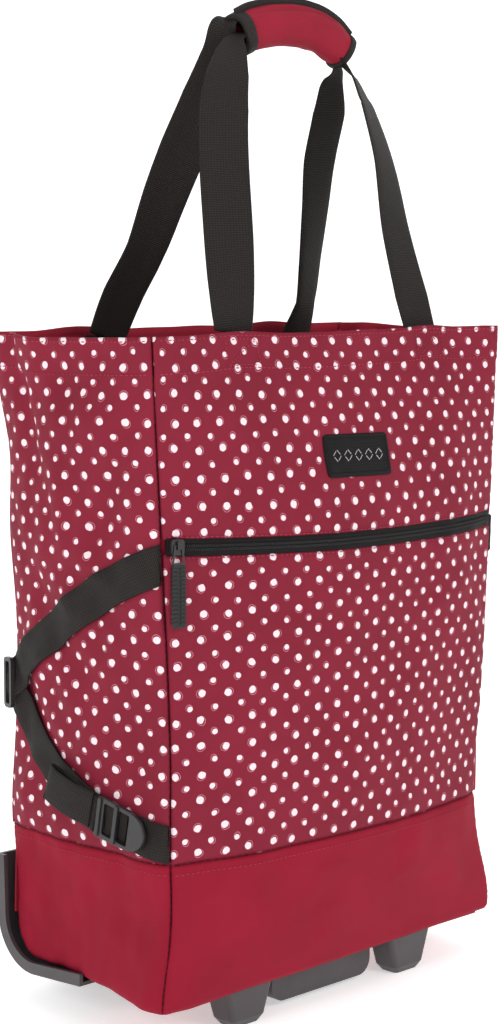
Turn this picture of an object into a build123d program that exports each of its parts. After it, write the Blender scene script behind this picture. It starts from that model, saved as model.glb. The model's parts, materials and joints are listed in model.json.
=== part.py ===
from build123d import *
import math
import os

# Wheeled shopping bag in millimetres: +Z up, +X to the right seen from the front, -Y the
# front (pocket) side, +Y the rear (wheel) side. Origin on the floor, centre of the whole box.

# ---- bag body -----------------------------------------------------------------------------
FABRIC = 1.6              # thickness of a sewn fabric panel
GAP = 0.4                 # free space between neighbouring soft panels
BOTTOM_Z = 36.0           # lower edge of the fabric
BAND_Z = 149.0            # seam between the plain base band and the printed panels
ZIP_Z = 395.0             # centre line of the pocket zip
RIM_Z = 555.0             # open upper edge
FRONT_Y = -100.0          # front corner seams
REAR_Y = 98.0             # rear corner seams
# height, half width, bulge of the front, bulge of a side
LEVELS = [
    (BOTTOM_Z, 190.0, 3.0, 2.0),
    (BAND_Z, 186.0, 25.0, 11.0),
    (270.0, 189.0, 28.0, 13.0),
    (ZIP_Z, 195.0, 28.0, 17.0),
    (RIM_Z, 202.0, -7.0, 12.0),
]
REAR_BULGE = 1.5
CORNER_R = 36.0           # rounded rear lower edge of the fabric
CHANNEL_Y = 72.0          # front face of the panel that closes the handle channel
BOARD = 2.5               # stiffening boards
BOARD_Y = CHANNEL_Y + FABRIC + 2.2

# ---- pocket zip and label -----------------------------------------------------------------
ZIP_H = 13.0
COIL_H, COIL_PROUD = 5.0, 1.2
ZIP_HALF = 190.0
SLIDER_X = -186.0
SLIDER_SIZE = (11.0, 3.6, 12.0)
PULL_W, PULL_T, PULL_L = 11.5, 2.6, 48.0
BRIDGE_ROOM = 1.6         # free depth under the slider's bridge
LOOP_T, LOOP_BAR_Z = 0.9, (1.0, 2.0)
LABEL_W, LABEL_H, LABEL_Z = 78.0, 33.0, 460.0

# ---- carry handles ------------------------------------------------------------------------
WEB_W, WEB_T = 40.0, 2.0
LEG_X = 112.0
FRONT_LEG_Y = -89.0
REAR_LEG_Y = 69.5
HEM = 30.0                # length of a leg that is sewn inside the rim
WRAP_Y = -8.0
WRAP_POINTS = [(-25.0, 810.0), (42.0, 822.0), (98.0, 802.0)]
WRAP_DEEP, WRAP_TALL, WRAP_T, WRAP_R = 30.0, 36.0, 3.0, 9.0
FOLDED_W, FOLDED_T = 20.0, 4.0

# ---- side compression straps --------------------------------------------------------------
STRAP_W, STRAP_T = 30.0, 1.6
STRAP_LIFT = 0.9
RING_YZ = (87.0, 270.0)
RING_SIZE = (14.0, 42.0)
RING_BAR = 3.4
BUCKLE_YZ = (-48.0, 176.0)
BUCKLE_SIZE = (30.0, 38.0)
BUCKLE_TONGUE = (18.0, 17.5)
BUCKLE_WINDOWS = (2.5, 15.5)
BUCKLE_T = 4.0
BUCKLE_LIFT = 5.6
RING_LIFT = 6.5

# ---- running gear -------------------------------------------------------------------------
WHEEL_R, WHEEL_W, HUB_R, AXLE_R = 40.0, 24.0, 30.0, 4.0
BORE_CLEARANCE = 0.06
WHEEL_X = 112.0
WELL_X = (95.0, 129.0)    # inner and outer cheek of a wheel well
WELL_T = 2.5
GUARD_X = (193.4, 196.9)  # flange of the corner guard beside the fabric
GUARD_W = 10.0
GUARD_T = 3.0
GUARD_LINE = [(2.0, 32.0), (108.6, 24.4), (111.5, 121.0)]
GUARD_R = 45.0
FOOT_X, FOOT_Y = 98.0, -80.0
FOOT_TOP, FOOT_TIP, FOOT_DEEP = 55.0, 34.0, 28.0
GRIP_W, GRIP_DEEP, GRIP_Z, GRIP_Y = 120.0, 36.0, 5.0, -62.0

# ---- telescopic handle --------------------------------------------------------------------
TUBE_X, TUBE_Y = 70.0, 87.0
# width, depth, lower end and upper end of each stage
TUBES = {
    "outer": (24.0, 14.0, 72.0, 492.0),
    "middle": (20.0, 10.0, 86.0, 497.0),
    "inner": (16.0, 6.0, 100.0, 511.0),
}
TUBE_WALL = 1.0
GRIP_LENGTH, GRIP_DEPTH = 176.0, 17.0
GRIP_LOW, GRIP_MID, GRIP_HIGH = 504.0, 519.0, 534.0
BUTTON_L = 42.0
ROD_R, ROD_LOW = 1.5, 112.0

FRONT_REACH = -FRONT_Y + max(row[2] for row in LEVELS) + COIL_PROUD
AXLE_Y = FRONT_REACH - WHEEL_R

parts = {}


def keep(name, shape):
    parts.setdefault(name, []).extend(shape.solids())


def level(z):
    """Half width, front bulge and side bulge at a height."""
    for low, high in zip(LEVELS, LEVELS[1:]):
        if z <= high[0]:
            break
    share = (z - low[0]) / (high[0] - low[0])
    return [a + (b - a) * share for a, b in zip(low[1:], high[1:])]


def front_y(x, z):
    half, bulge, _ = level(z)
    return FRONT_Y - bulge * (1 - (x / half) ** 2)


SIDE_MIDDLE, SIDE_REACH = (FRONT_Y + REAR_Y) / 2, (REAR_Y - FRONT_Y) / 2


def side_x(y, z):
    half, _, bulge = level(z)
    return half + bulge * (1 - ((y - SIDE_MIDDLE) / SIDE_REACH) ** 2)


def side_plane(y, z, lift):
    """Plane that lies along the right side of the bag, lift away from it."""
    slope = -2 * level(z)[2] * (y - SIDE_MIDDLE) / SIDE_REACH ** 2
    return Plane(origin=(side_x(y, z) + lift, y, z), x_dir=(slope, 1, 0), z_dir=(1, -slope, 0))


def band_face(near, far):
    """Flat face between two arcs, each given by three points."""
    edges = [
        ThreePointArc(*near),
        Line(near[2], far[2]),
        ThreePointArc(far[2], far[1], far[0]),
        Line(far[0], near[0]),
    ]
    return make_face(Wire(edges))


def front_sheet(x0, x1, heights, lift, thickness):
    """Sheet on the front of the bag; lift is how far its inner face stands off the front."""
    def row(z, out):
        return [(x, front_y(x, z) - out, z) for x in (x0, (x0 + x1) / 2, x1)]
    return loft([band_face(row(z, lift), row(z, lift + thickness)) for z in heights], ruled=True)


def side_sheet(y0, y1, heights, lift, thickness):
    """Sheet on the right side of the bag."""
    def row(z, out):
        return [(side_x(y, z) + out, y, z) for y in (y0, (y0 + y1) / 2, y1)]
    return loft([band_face(row(z, lift), row(z, lift + thickness)) for z in heights], ruled=True)


def rear_sheet(y, heights, bulge, inset, thickness):
    """Upright sheet across the bag, from side to side."""
    def row(z, out):
        half = level(z)[0] - inset
        return [(-half, y + out, z), (0, y + bulge + out, z), (half, y + out, z)]
    return loft([band_face(row(z, 0), row(z, thickness)) for z in heights], ruled=True)


def box(x0, x1, y0, y1, z0, z1):
    return Pos((x0 + x1) / 2, (y0 + y1) / 2, (z0 + z1) / 2) * Box(x1 - x0, y1 - y0, z1 - z0)


def rod(radius, x0, x1, y, z):
    """Cylinder along X."""
    return Pos((x0 + x1) / 2, y, z) * Rot(0, 90, 0) * Cylinder(radius, x1 - x0)


def both_sides(name, shape):
    """The same piece on the right and, mirrored, on the left."""
    keep("right_" + name, shape)
    keep("left_" + name, mirror(shape, about=Plane.YZ))


def pair(name, shape):
    """Both copies of a small piece in one node."""
    keep(name, shape)
    keep(name, mirror(shape, about=Plane.YZ))


def quad(centre, across, through):
    corners = [centre + across + through, centre + across - through,
               centre - across - through, centre - across + through]
    return Face(Wire.make_polygon(corners, close=True))


# ---- fabric panels ------------------------------------------------------------------------

def inside_levels(z0, z1):
    return [z0] + [row[0] for row in LEVELS if z0 < row[0] < z1] + [z1]


def make_panels():
    zip_low, zip_high = ZIP_Z - ZIP_H / 2, ZIP_Z + ZIP_H / 2
    half = {z: level(z)[0] for z in (BOTTOM_Z, BAND_Z, zip_low, zip_high, RIM_Z)}
    low_half = min(half.values()) - FABRIC
    keep("front_upper_panel", front_sheet(-half[zip_high], half[zip_high],
                                          [zip_high + GAP, RIM_Z], -FABRIC, FABRIC))
    keep("front_pocket_panel", front_sheet(-low_half, low_half,
                                           inside_levels(BAND_Z + GAP, zip_low - GAP), -FABRIC, FABRIC))
    keep("pocket_back_panel", front_sheet(-low_half + 2 * FABRIC, low_half - 2 * FABRIC,
                                          inside_levels(BAND_Z + GAP, zip_high), -3.4 * FABRIC, FABRIC))
    keep("base_front_panel", front_sheet(-half[BAND_Z] + FABRIC, half[BAND_Z] - FABRIC,
                                         [BOTTOM_Z, BAND_Z], -FABRIC, FABRIC))
    edge_front = FRONT_Y + FABRIC + GAP
    edge_rear = REAR_Y - FABRIC - GAP
    both_sides("side_panel", side_sheet(edge_front, edge_rear, inside_levels(BAND_Z + GAP, RIM_Z),
                                        -FABRIC, FABRIC))
    keep("rear_panel", rear_sheet(REAR_Y - FABRIC, inside_levels(BAND_Z + GAP, RIM_Z), REAR_BULGE,
                                  0, FABRIC))
    outside_round = box(-300, 300, REAR_Y - CORNER_R, REAR_Y + 20, BOTTOM_Z - 10, BOTTOM_Z + CORNER_R)
    outside_round -= rod(CORNER_R - FABRIC - GAP, -300, 300, REAR_Y - CORNER_R, BOTTOM_Z + CORNER_R)
    base_side = side_sheet(edge_front, edge_rear, [BOTTOM_Z, BAND_Z], -FABRIC, FABRIC)
    both_sides("base_side_panel", base_side - outside_round)
    keep("base_rear_panel", rear_sheet(REAR_Y - FABRIC, [BOTTOM_Z + CORNER_R + GAP, BAND_Z], REAR_BULGE,
                                       0, FABRIC))


def base_profile(lift, thickness, front, rise):
    """Side view of a sheet that lies in the base and turns up at the rear."""
    def line(depth):
        centre = (REAR_Y - CORNER_R, BOTTOM_Z + CORNER_R)
        radius = CORNER_R - depth
        angle = math.asin(rise / CORNER_R)
        end = (centre[0] + radius * math.sin(angle), centre[1] - radius * math.cos(angle))
        mid = (centre[0] + radius * math.sin(angle / 2), centre[1] - radius * math.cos(angle / 2))
        return (front, BOTTOM_Z + depth), (centre[0], BOTTOM_Z + depth), mid, end
    low, high = line(lift), line(lift + thickness)
    edges = [
        Line(low[0], low[1]),
        ThreePointArc(*low[1:]),
        Line(low[3], high[3]),
        ThreePointArc(high[3], high[2], high[1]),
        Line(high[1], high[0]),
        Line(high[0], low[0]),
    ]
    return make_face(Wire(edges))


def across(profile, half):
    """Push a side-view face (Y, Z) out to both sides."""
    return Plane(origin=(-half, 0, 0), x_dir=(0, 1, 0), z_dir=(1, 0, 0)) * extrude(profile, 2 * half)


def wheel_well_room(margin):
    x0, x1 = WELL_X
    one = box(x0 - margin, x1 + margin, AXLE_Y - WHEEL_R - WELL_T - 3 - margin, REAR_Y + 40,
              BOTTOM_Z - 30, 2 * WHEEL_R + WELL_T + 4 + margin)
    return one + mirror(one, about=Plane.YZ)


def make_base():
    half = level(BAND_Z)[0] - 2 * FABRIC - 1
    front = FRONT_Y + FABRIC + GAP
    room = wheel_well_room(0.6)
    keep("bottom_panel", across(base_profile(0, FABRIC, front, CORNER_R * 0.999), half) - room)
    board = across(base_profile(FABRIC + GAP, BOARD, front + 3, CORNER_R * 0.45), half - 2)
    keep("base_board", board - room)
    parts["base_rear_panel"] = (Compound(parts["base_rear_panel"]) - room).solids()


def make_channel():
    room = wheel_well_room(0.6)
    heights = inside_levels(BOTTOM_Z + 10, RIM_Z)
    keep("handle_channel_panel", rear_sheet(CHANNEL_Y, heights, 0.4, 14.0, FABRIC) - room)
    keep("back_board", box(-150, 150, BOARD_Y, BOARD_Y + BOARD, 50, 500) - room)


# ---- top closure --------------------------------------------------------------------------

def make_top_closure():
    drop, length, thickness = 62.0, 330.0, 1.2
    top = RIM_Z - HEM - 2
    for y, toward in ((FRONT_Y + 19.0, 1), (CHANNEL_Y - 9.0, -1)):
        flap = box(-length / 2, length / 2, y - thickness / 2, y + thickness / 2, top - drop, top)
        keep("top_flaps", flap)
        tape_y = y + toward * 1.6
        tape = box(-length / 2, length / 2, tape_y - 0.8, tape_y + 0.8, top - drop, top - drop + 12)
        keep("top_zip_tapes", tape)
    slider_y = FRONT_Y + 19.0 + 4.6
    keep("top_zip_slider", box(-length / 2 + 4, -length / 2 + 16, slider_y - 2, slider_y + 2,
                               top - drop - 1, top - drop + 10))
    tab_y, tab_x = FRONT_Y + 44.0, level(RIM_Z)[0] - 1
    outline = Wire.make_polygon([(tab_x, tab_y - 7, RIM_Z - 12), (tab_x, tab_y + 7, RIM_Z - 12),
                                 (tab_x, tab_y + 5, RIM_Z + 5), (tab_x, tab_y, RIM_Z + 9),
                                 (tab_x, tab_y - 5, RIM_Z + 5)], close=True)
    keep("top_zip_tail", extrude(Face(outline), 1.6, dir=(-1, 0, 0)))


# ---- pocket zip and label -----------------------------------------------------------------

def zip_radius():
    half, bulge, _ = level(ZIP_Z)
    return (half ** 2 + bulge ** 2) / (2 * bulge)


def on_zip(shape, x):
    """Carry a piece modelled at the middle of the zip along the zip's arc to x."""
    centre_y = FRONT_Y - level(ZIP_Z)[1] + zip_radius()
    turn = math.degrees(math.asin(x / zip_radius()))
    return Pos(0, centre_y, 0) * Rot(0, 0, turn) * Pos(0, -centre_y, 0) * shape


def make_pocket_zip():
    side = ZIP_H / 2
    keep("pocket_zip_tape", front_sheet(-ZIP_HALF, ZIP_HALF, [ZIP_Z - side, ZIP_Z + side], -1.2, 1.0))
    coil = COIL_H / 2
    keep("pocket_zip_coil", front_sheet(-ZIP_HALF, ZIP_HALF, [ZIP_Z - coil, ZIP_Z + coil], 0.0, COIL_PROUD))
    wide, deep, tall = SLIDER_SIZE
    face_y = FRONT_Y - level(ZIP_Z)[1] - COIL_PROUD - GAP
    slider = Pos(0, face_y - deep / 2, ZIP_Z) * Box(wide, deep, tall)
    slider = fillet(slider.edges().filter_by(Axis.Y), 2.5)
    bridge_y = face_y - deep - BRIDGE_ROOM
    post = box(-1.4, 1.4, bridge_y - 1.2, face_y - deep + 0.2, ZIP_Z - 1.5, ZIP_Z + 4.5)
    post -= box(-2, 2, bridge_y + 0.1, face_y - deep + 0.1, ZIP_Z - 0.6, ZIP_Z + 2.6)
    keep("pocket_zip_slider", on_zip(slider + post, SLIDER_X))
    # The loop hangs in the slider's bridge; the ribbed tab hangs in the loop.
    loop_y = bridge_y + 0.1 + BRIDGE_ROOM / 2
    bar_low, bar_high = ZIP_Z + LOOP_BAR_Z[0], ZIP_Z + LOOP_BAR_Z[1]
    outer = Wire.make_polygon([(-3.5, loop_y, bar_high), (3.5, loop_y, bar_high),
                               (5.5, loop_y, ZIP_Z - 13.0), (-5.5, loop_y, ZIP_Z - 13.0)], close=True)
    inner = Wire.make_polygon([(-2.0, loop_y, bar_low), (2.0, loop_y, bar_low),
                               (3.9, loop_y, ZIP_Z - 11.6), (-3.9, loop_y, ZIP_Z - 11.6)], close=True)
    loop = extrude(Face(outer), LOOP_T / 2, dir=(0, 1, 0), both=True)
    loop -= extrude(Face(inner), LOOP_T, dir=(0, 1, 0), both=True)
    keep("pocket_pull_loop", on_zip(loop, SLIDER_X))
    tab_top = ZIP_Z - 13.2
    tab = Pos(0, loop_y, tab_top - PULL_L / 2) * Box(PULL_W, PULL_T, PULL_L)
    tab = fillet(tab.edges().filter_by(Axis.Y), 2.5)
    ribs, pitch = 14, PULL_L / 15
    for k in range(ribs):
        z = tab_top - pitch * (k + 1)
        tab -= box(-PULL_W, PULL_W, loop_y - PULL_T, loop_y - PULL_T / 2 + 0.4, z - 0.5, z + 0.5)
    keep("pocket_pull_tab", on_zip(tab, SLIDER_X))


def make_label():
    heights = [LABEL_Z - LABEL_H / 2, LABEL_Z + LABEL_H / 2]
    keep("front_label", front_sheet(-LABEL_W / 2, LABEL_W / 2, heights, 0.3, 1.2))


# ---- carry handles ------------------------------------------------------------------------

def curve_point(start, start_way, end, end_way, s):
    """Point at s on the smooth curve that leaves start and reaches end along the two ways."""
    a, b = 2 * s ** 3 - 3 * s ** 2 + 1, s ** 3 - 2 * s ** 2 + s
    c, d = 3 * s ** 2 - 2 * s ** 3, s ** 3 - s ** 2
    return start * a + start_way * b + end * c + end_way * d


def webbing_leg(start, start_way, end, end_way, steps=7):
    sections = []
    for k in range(steps + 1):
        s = k / steps
        here = curve_point(start, start_way, end, end_way, s)
        ahead = curve_point(start, start_way, end, end_way, s + 0.01)
        way = ahead - here
        flat = Vector(way.Z, 0, -way.X).normalized()
        wide = WEB_W + (FOLDED_W - WEB_W) * s
        thick = WEB_T + (FOLDED_T - WEB_T) * s
        sections.append(quad(here, flat * (wide / 2), Vector(0, thick / 2, 0)))
    return loft(sections, ruled=True)


def make_handle(name, leg_y, wrap_y):
    (x0, z0), (xm, zm), (x1, z1) = WRAP_POINTS
    foot_z = RIM_Z + 2
    left = webbing_leg(Vector(-LEG_X, leg_y, foot_z), Vector(0, 0, 300),
                       Vector(x0, wrap_y, z0), Vector(110, 0, 10))
    right = webbing_leg(Vector(LEG_X, leg_y, foot_z), Vector(0, 0, 180),
                        Vector(x1, wrap_y, z1), Vector(-70, 0, 50))
    start = Vector(x0, wrap_y, z0)
    path = ThreePointArc(start, (xm, wrap_y, zm), (x1, wrap_y, z1))
    cross = Plane(origin=start, x_dir=(0, 1, 0), z_dir=path % 0) * Rectangle(FOLDED_T, FOLDED_W)
    middle = sweep(cross, path=path)
    keep(name + "_handle_webbing", left)
    keep(name + "_handle_webbing", right)
    keep(name + "_handle_webbing", middle)
    for x in (-LEG_X, LEG_X):
        end = box(x - WEB_W / 2, x + WEB_W / 2, leg_y - WEB_T / 2, leg_y + WEB_T / 2,
                  RIM_Z - HEM, RIM_Z + 1)
        keep("handle_ends", end)


def make_wrap():
    (x0, z0), (xm, zm), (x1, z1) = WRAP_POINTS
    start = Vector(x0, WRAP_Y, z0)
    path = ThreePointArc(start, (xm, WRAP_Y, zm), (x1, WRAP_Y, z1))
    plane = Plane(origin=start, x_dir=(0, 1, 0), z_dir=path % 0)
    outer = sweep(plane * RectangleRounded(WRAP_DEEP, WRAP_TALL, WRAP_R), path=path)
    room = RectangleRounded(WRAP_DEEP - 2 * WRAP_T, WRAP_TALL - 2 * WRAP_T, WRAP_R - WRAP_T)
    keep("handle_wrap", outer - sweep(plane * room, path=path))


# ---- side straps --------------------------------------------------------------------------

def side_strip(start, end, lift, thickness, width, steps=8):
    """Strip of webbing on the right side, between two points given as (y, z)."""
    way = Vector(0, end[0] - start[0], end[1] - start[1])
    flat = Vector(0, -way.Z, way.Y).normalized() * (width / 2)
    sections = []
    for k in range(steps + 1):
        centre = Vector(0, *start) + way * (k / steps)
        ends = [centre + flat, centre - flat]
        feet = [Vector(side_x(p.Y, p.Z) + lift, p.Y, p.Z) for p in ends]
        tops = [p + Vector(thickness, 0, 0) for p in feet]
        sections.append(Face(Wire.make_polygon([feet[0], tops[0], tops[1], feet[1]], close=True)))
    return loft(sections, ruled=True)


def make_side_straps():
    ring_y, ring_z = RING_YZ
    buckle_y, buckle_z = BUCKLE_YZ
    seam = FRONT_Y + 4
    both_sides("strap_upper_run", side_strip((seam, 379), (ring_y - 1, ring_z + 8),
                                             STRAP_LIFT, STRAP_T, STRAP_W))
    both_sides("strap_lower_run", side_strip((ring_y - 1, ring_z - 10), (buckle_y + 16, buckle_z + 8),
                                             STRAP_LIFT + STRAP_T + 0.4, STRAP_T, STRAP_W))
    pair("strap_free_ends", side_strip((buckle_y + 30, buckle_z + 12), (buckle_y + 84, buckle_z + 24),
                                       BUCKLE_LIFT, STRAP_T, STRAP_W))
    pair("buckle_anchors", side_strip((seam, buckle_z - 10), (buckle_y - 14, buckle_z - 2),
                                      STRAP_LIFT, STRAP_T, STRAP_W))
    wide, tall = BUCKLE_SIZE
    plane = side_plane(buckle_y, buckle_z, BUCKLE_LIFT)
    outline = Pos(9, 0) * RectangleRounded(wide, tall, 6) + Pos(-7, 0) * Ellipse(*BUCKLE_TONGUE)
    for dx in BUCKLE_WINDOWS:
        outline -= Pos(dx, 0) * RectangleRounded(8.5, tall - 10, 2)
    buckle = extrude(plane * outline, BUCKLE_T)
    both_sides("strap_buckle", buckle)
    plane = side_plane(ring_y, ring_z, RING_LIFT)
    bar = RING_BAR
    ring = extrude(plane * RectangleRounded(*RING_SIZE, 4), bar)
    hole = RectangleRounded(RING_SIZE[0] - 2 * bar, RING_SIZE[1] - 2 * bar, 2)
    ring -= extrude(plane * hole, 3 * bar, both=True)
    pair("strap_rings", ring)
    tab = side_strip((ring_y + 3, ring_z), (REAR_Y - 2, ring_z), STRAP_LIFT, STRAP_T, STRAP_W, 2)
    pair("ring_tabs", tab)


# ---- running gear -------------------------------------------------------------------------

def guard_face(width):
    """Side view of the corner guard: an L-shaped band with a large round corner."""
    def line(depth):
        (ya, za), (yb, zb), (yc, zc) = GUARD_LINE
        points = [(ya, za + depth), (yb - depth, zb + depth), (yc - depth, zc)]
        return FilletPolyline(*points, radius=GUARD_R - depth)
    outer, inner = line(0), line(width)
    edges = outer.edges() + inner.edges() + [Line(outer @ 0, inner @ 0), Line(outer @ 1, inner @ 1)]
    return make_face(edges)


def side_extrude(face, x0, x1):
    return Plane(origin=(x0, 0, 0), x_dir=(0, 1, 0), z_dir=(1, 0, 0)) * extrude(face, x1 - x0)


def make_housings():
    x0, x1 = WELL_X
    top = 2 * WHEEL_R + WELL_T + 3
    front = AXLE_Y - WHEEL_R - WELL_T - 2
    shell = side_extrude(guard_face(GUARD_T), x0, GUARD_X[0])
    shell += side_extrude(guard_face(GUARD_W), *GUARD_X)
    well = box(x0, x1, front, REAR_Y + 10, BOTTOM_Z - 4, top)
    well -= box(x0 + WELL_T, x1 - WELL_T, front + WELL_T, REAR_Y + 40, BOTTOM_Z - 30, top - WELL_T)
    slot = box(x0 + WELL_T, x1 - WELL_T, front + WELL_T, REAR_Y + 40, -10, top - WELL_T)
    housing = shell + well - slot
    housing -= rod(AXLE_R + 0.03, x0 - 10, x1 + 10, AXLE_Y, WHEEL_R)
    both_sides("wheel_housing", housing)
    pair("axles", rod(AXLE_R, x0 + 0.2, x1 - 0.2, AXLE_Y, WHEEL_R))


def make_wheels():
    a, b = WHEEL_X - WHEEL_W / 2, WHEEL_X + WHEEL_W / 2
    tyre = rod(WHEEL_R, a + 1, b - 1, AXLE_Y, WHEEL_R)
    tyre = fillet(tyre.edges(), 5)
    tyre -= rod(HUB_R, a - 5, b + 5, AXLE_Y, WHEEL_R)
    both_sides("tyre", tyre)
    hub = rod(HUB_R, a + 2, b - 2, AXLE_Y, WHEEL_R)
    for x0, x1 in ((a - 5, WHEEL_X - 3), (WHEEL_X + 3, b + 5)):
        hub -= rod(HUB_R - 4, x0, x1, AXLE_Y, WHEEL_R) - rod(9, x0, x1, AXLE_Y, WHEEL_R)
    for k in range(5):
        turn = 72 * k
        arm = Rot(turn, 0, 0) * Pos(0, 0, (9 + HUB_R - 4) / 2) * Box(WHEEL_W - 6, 4, HUB_R - 4 - 7)
        hub += Pos(WHEEL_X, AXLE_Y, WHEEL_R) * arm
    hub += rod(9, a - 1.5, b + 1.5, AXLE_Y, WHEEL_R)
    hub -= rod(AXLE_R + BORE_CLEARANCE, a - 9, b + 9, AXLE_Y, WHEEL_R)
    both_sides("wheel_hub", hub)


def make_feet():
    top = Plane(origin=(FOOT_X, FOOT_Y, BOTTOM_Z - 0.4)) * RectangleRounded(FOOT_TOP, FOOT_DEEP, 5)
    mid = Plane(origin=(FOOT_X, FOOT_Y, 6)) * RectangleRounded(FOOT_TIP + 4, FOOT_DEEP - 3, 5)
    tip = Plane(origin=(FOOT_X, FOOT_Y, 0)) * RectangleRounded(FOOT_TIP - 6, FOOT_DEEP - 9, 4)
    both_sides("front_foot", loft([top, mid]) + loft([mid, tip]))
    head_z = BOTTOM_Z + FABRIC + GAP + BOARD + 1.0
    for x in (FOOT_X - 14, FOOT_X + 14, -FOOT_X - 14, -FOOT_X + 14):
        keep("frame_screws", Pos(x, FOOT_Y, head_z) * Cylinder(4, 1.6))


def make_bottom_grip():
    low, high = GRIP_Z, BOTTOM_Z - 0.4
    tall = high - low
    plane = Plane(origin=(0, GRIP_Y - GRIP_DEEP / 2, (low + high) / 2),
                  x_dir=(1, 0, 0), z_dir=(0, 1, 0))
    outer = extrude(plane * Rectangle(GRIP_W, tall), GRIP_DEEP)
    outer = fillet(outer.edges().filter_by(Axis.Y).group_by(Axis.Z)[0], 14)
    hollow = box(-GRIP_W / 2 + 4, GRIP_W / 2 - 4, GRIP_Y - GRIP_DEEP / 2 + 4, GRIP_Y + GRIP_DEEP,
                 low + 4, high - 3)
    hollow = fillet(hollow.edges().filter_by(Axis.Y).group_by(Axis.Z)[0], 10)
    keep("bottom_grip", outer - hollow)


# ---- telescopic handle --------------------------------------------------------------------

def tube(kind, x):
    wide, deep, low, high = TUBES[kind]
    ring = RectangleRounded(wide, deep, 2.4)
    ring -= RectangleRounded(wide - 2 * TUBE_WALL, deep - 2 * TUBE_WALL, 1.4)
    return Pos(x, TUBE_Y, low) * extrude(ring, high - low)


def sleeve(wide, deep, kind, clearance, x, low, high):
    """Plastic collar around a tube."""
    inner_w, inner_d = TUBES[kind][0] + 2 * clearance, TUBES[kind][1] + 2 * clearance
    ring = RectangleRounded(wide, deep, 3) - RectangleRounded(inner_w, inner_d, 2.4)
    return Pos(x, TUBE_Y, low) * extrude(ring, high - low)


def make_telescope():
    outer_w, outer_d, outer_low, outer_high = TUBES["outer"]
    middle_high = TUBES["middle"][3]
    near, far = BOARD_Y + BOARD + 0.1, REAR_Y - FABRIC - 0.8
    for x in (-TUBE_X, TUBE_X):
        for kind in TUBES:
            keep(kind + "_tubes", tube(kind, x))
        keep("outer_tube_bushes", sleeve(outer_w - 2 * TUBE_WALL - 0.1, outer_d - 2 * TUBE_WALL - 0.1,
                                         "middle", 0.08, x, outer_high - 14, outer_high))
        keep("middle_tube_bushes", sleeve(24, 14, "inner", 0.08, x, middle_high + 0.1, middle_high + 6))
        foot = box(x - 18, x + 18, near, far, outer_low - 5, outer_low - 0.1)
        foot += sleeve(34, 2 * (far - TUBE_Y), "outer", 0.05, x, outer_low - 0.2, outer_low + 26)
        keep("handle_lower_brackets", foot)
    collar = box(-TUBE_X - 20, TUBE_X + 20, near, far, outer_high - 26, outer_high - 4)
    collar = fillet(collar.edges().filter_by(Axis.Y), 4)
    for x in (-TUBE_X, TUBE_X):
        hole = RectangleRounded(outer_w + 0.1, outer_d + 0.1, 2.4)
        collar -= Pos(x, TUBE_Y, outer_high - 30) * extrude(hole, 40)
    keep("handle_upper_bracket", collar)
    for x in (-TUBE_X + 24, 0, TUBE_X - 24):
        keep("frame_screws", Pos(x, BOARD_Y - 0.7, outer_high - 15) * Rot(90, 0, 0) * Cylinder(3.5, 1.2))


def make_grip():
    inner_w, inner_d, _, inner_high = TUBES["inner"]
    blank = Pos(0, TUBE_Y, (GRIP_LOW + GRIP_HIGH) / 2) * Box(GRIP_LENGTH, GRIP_DEPTH, GRIP_HIGH - GRIP_LOW)
    blank = fillet(blank.edges().filter_by(Axis.X), 6)
    blank = fillet(blank.edges().filter_by(Axis.Y), 7)
    for x in (-TUBE_X, TUBE_X):
        socket = RectangleRounded(inner_w + 0.1, inner_d + 0.1, 2.4)
        blank -= Pos(x, TUBE_Y, GRIP_LOW - 1) * extrude(socket, inner_high - GRIP_LOW + 1.1)
        blank -= Pos(x, TUBE_Y, inner_high - 1) * Cylinder(2.2, 2 * (GRIP_MID - inner_high) + 20)
    tray = box(-TUBE_X - 4, TUBE_X + 4, TUBE_Y - 5, TUBE_Y + 5, GRIP_MID - 3, GRIP_MID + 7)
    button_well = box(-BUTTON_L / 2 - 0.3, BUTTON_L / 2 + 0.3, TUBE_Y - 5.3, TUBE_Y + 5.3,
                      GRIP_MID, GRIP_HIGH + 9)
    blank -= tray + button_well
    keep("grip_lower_shell", blank & box(-200, 200, 0, 200, 0, GRIP_MID))
    keep("grip_upper_shell", blank & box(-200, 200, 0, 200, GRIP_MID, 900))
    button = box(-BUTTON_L / 2, BUTTON_L / 2, TUBE_Y - 5, TUBE_Y + 5, GRIP_MID + 3.2, GRIP_HIGH + 3)
    button = fillet(button.edges().group_by(Axis.Z)[-1], 2.5)
    keep("release_button", button)
    rods = box(-TUBE_X - 3, TUBE_X + 3, TUBE_Y - 4, TUBE_Y + 4, GRIP_MID + 1.2, GRIP_MID + 3.2)
    for x in (-TUBE_X, TUBE_X):
        length = GRIP_MID + 1.3 - ROD_LOW
        rods += Pos(x, TUBE_Y, ROD_LOW + length / 2) * Cylinder(ROD_R, length)
    keep("release_rods", rods)


make_panels()
make_base()
make_channel()
make_top_closure()
make_pocket_zip()
make_label()
make_handle("front", FRONT_LEG_Y, WRAP_Y - 5)
make_handle("rear", REAR_LEG_Y, WRAP_Y + 5)
make_wrap()
make_side_straps()
make_housings()
make_wheels()
make_feet()
make_bottom_grip()
make_telescope()
make_grip()

os.makedirs("parts", exist_ok=True)
for name, solids in parts.items():
    shape = solids[0] if len(solids) == 1 else Compound(children=solids)
    export_step(shape, "parts/" + name + ".step")
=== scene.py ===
import bpy
import json
import math
import numpy as np
from mathutils import Matrix, Vector, noise


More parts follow.
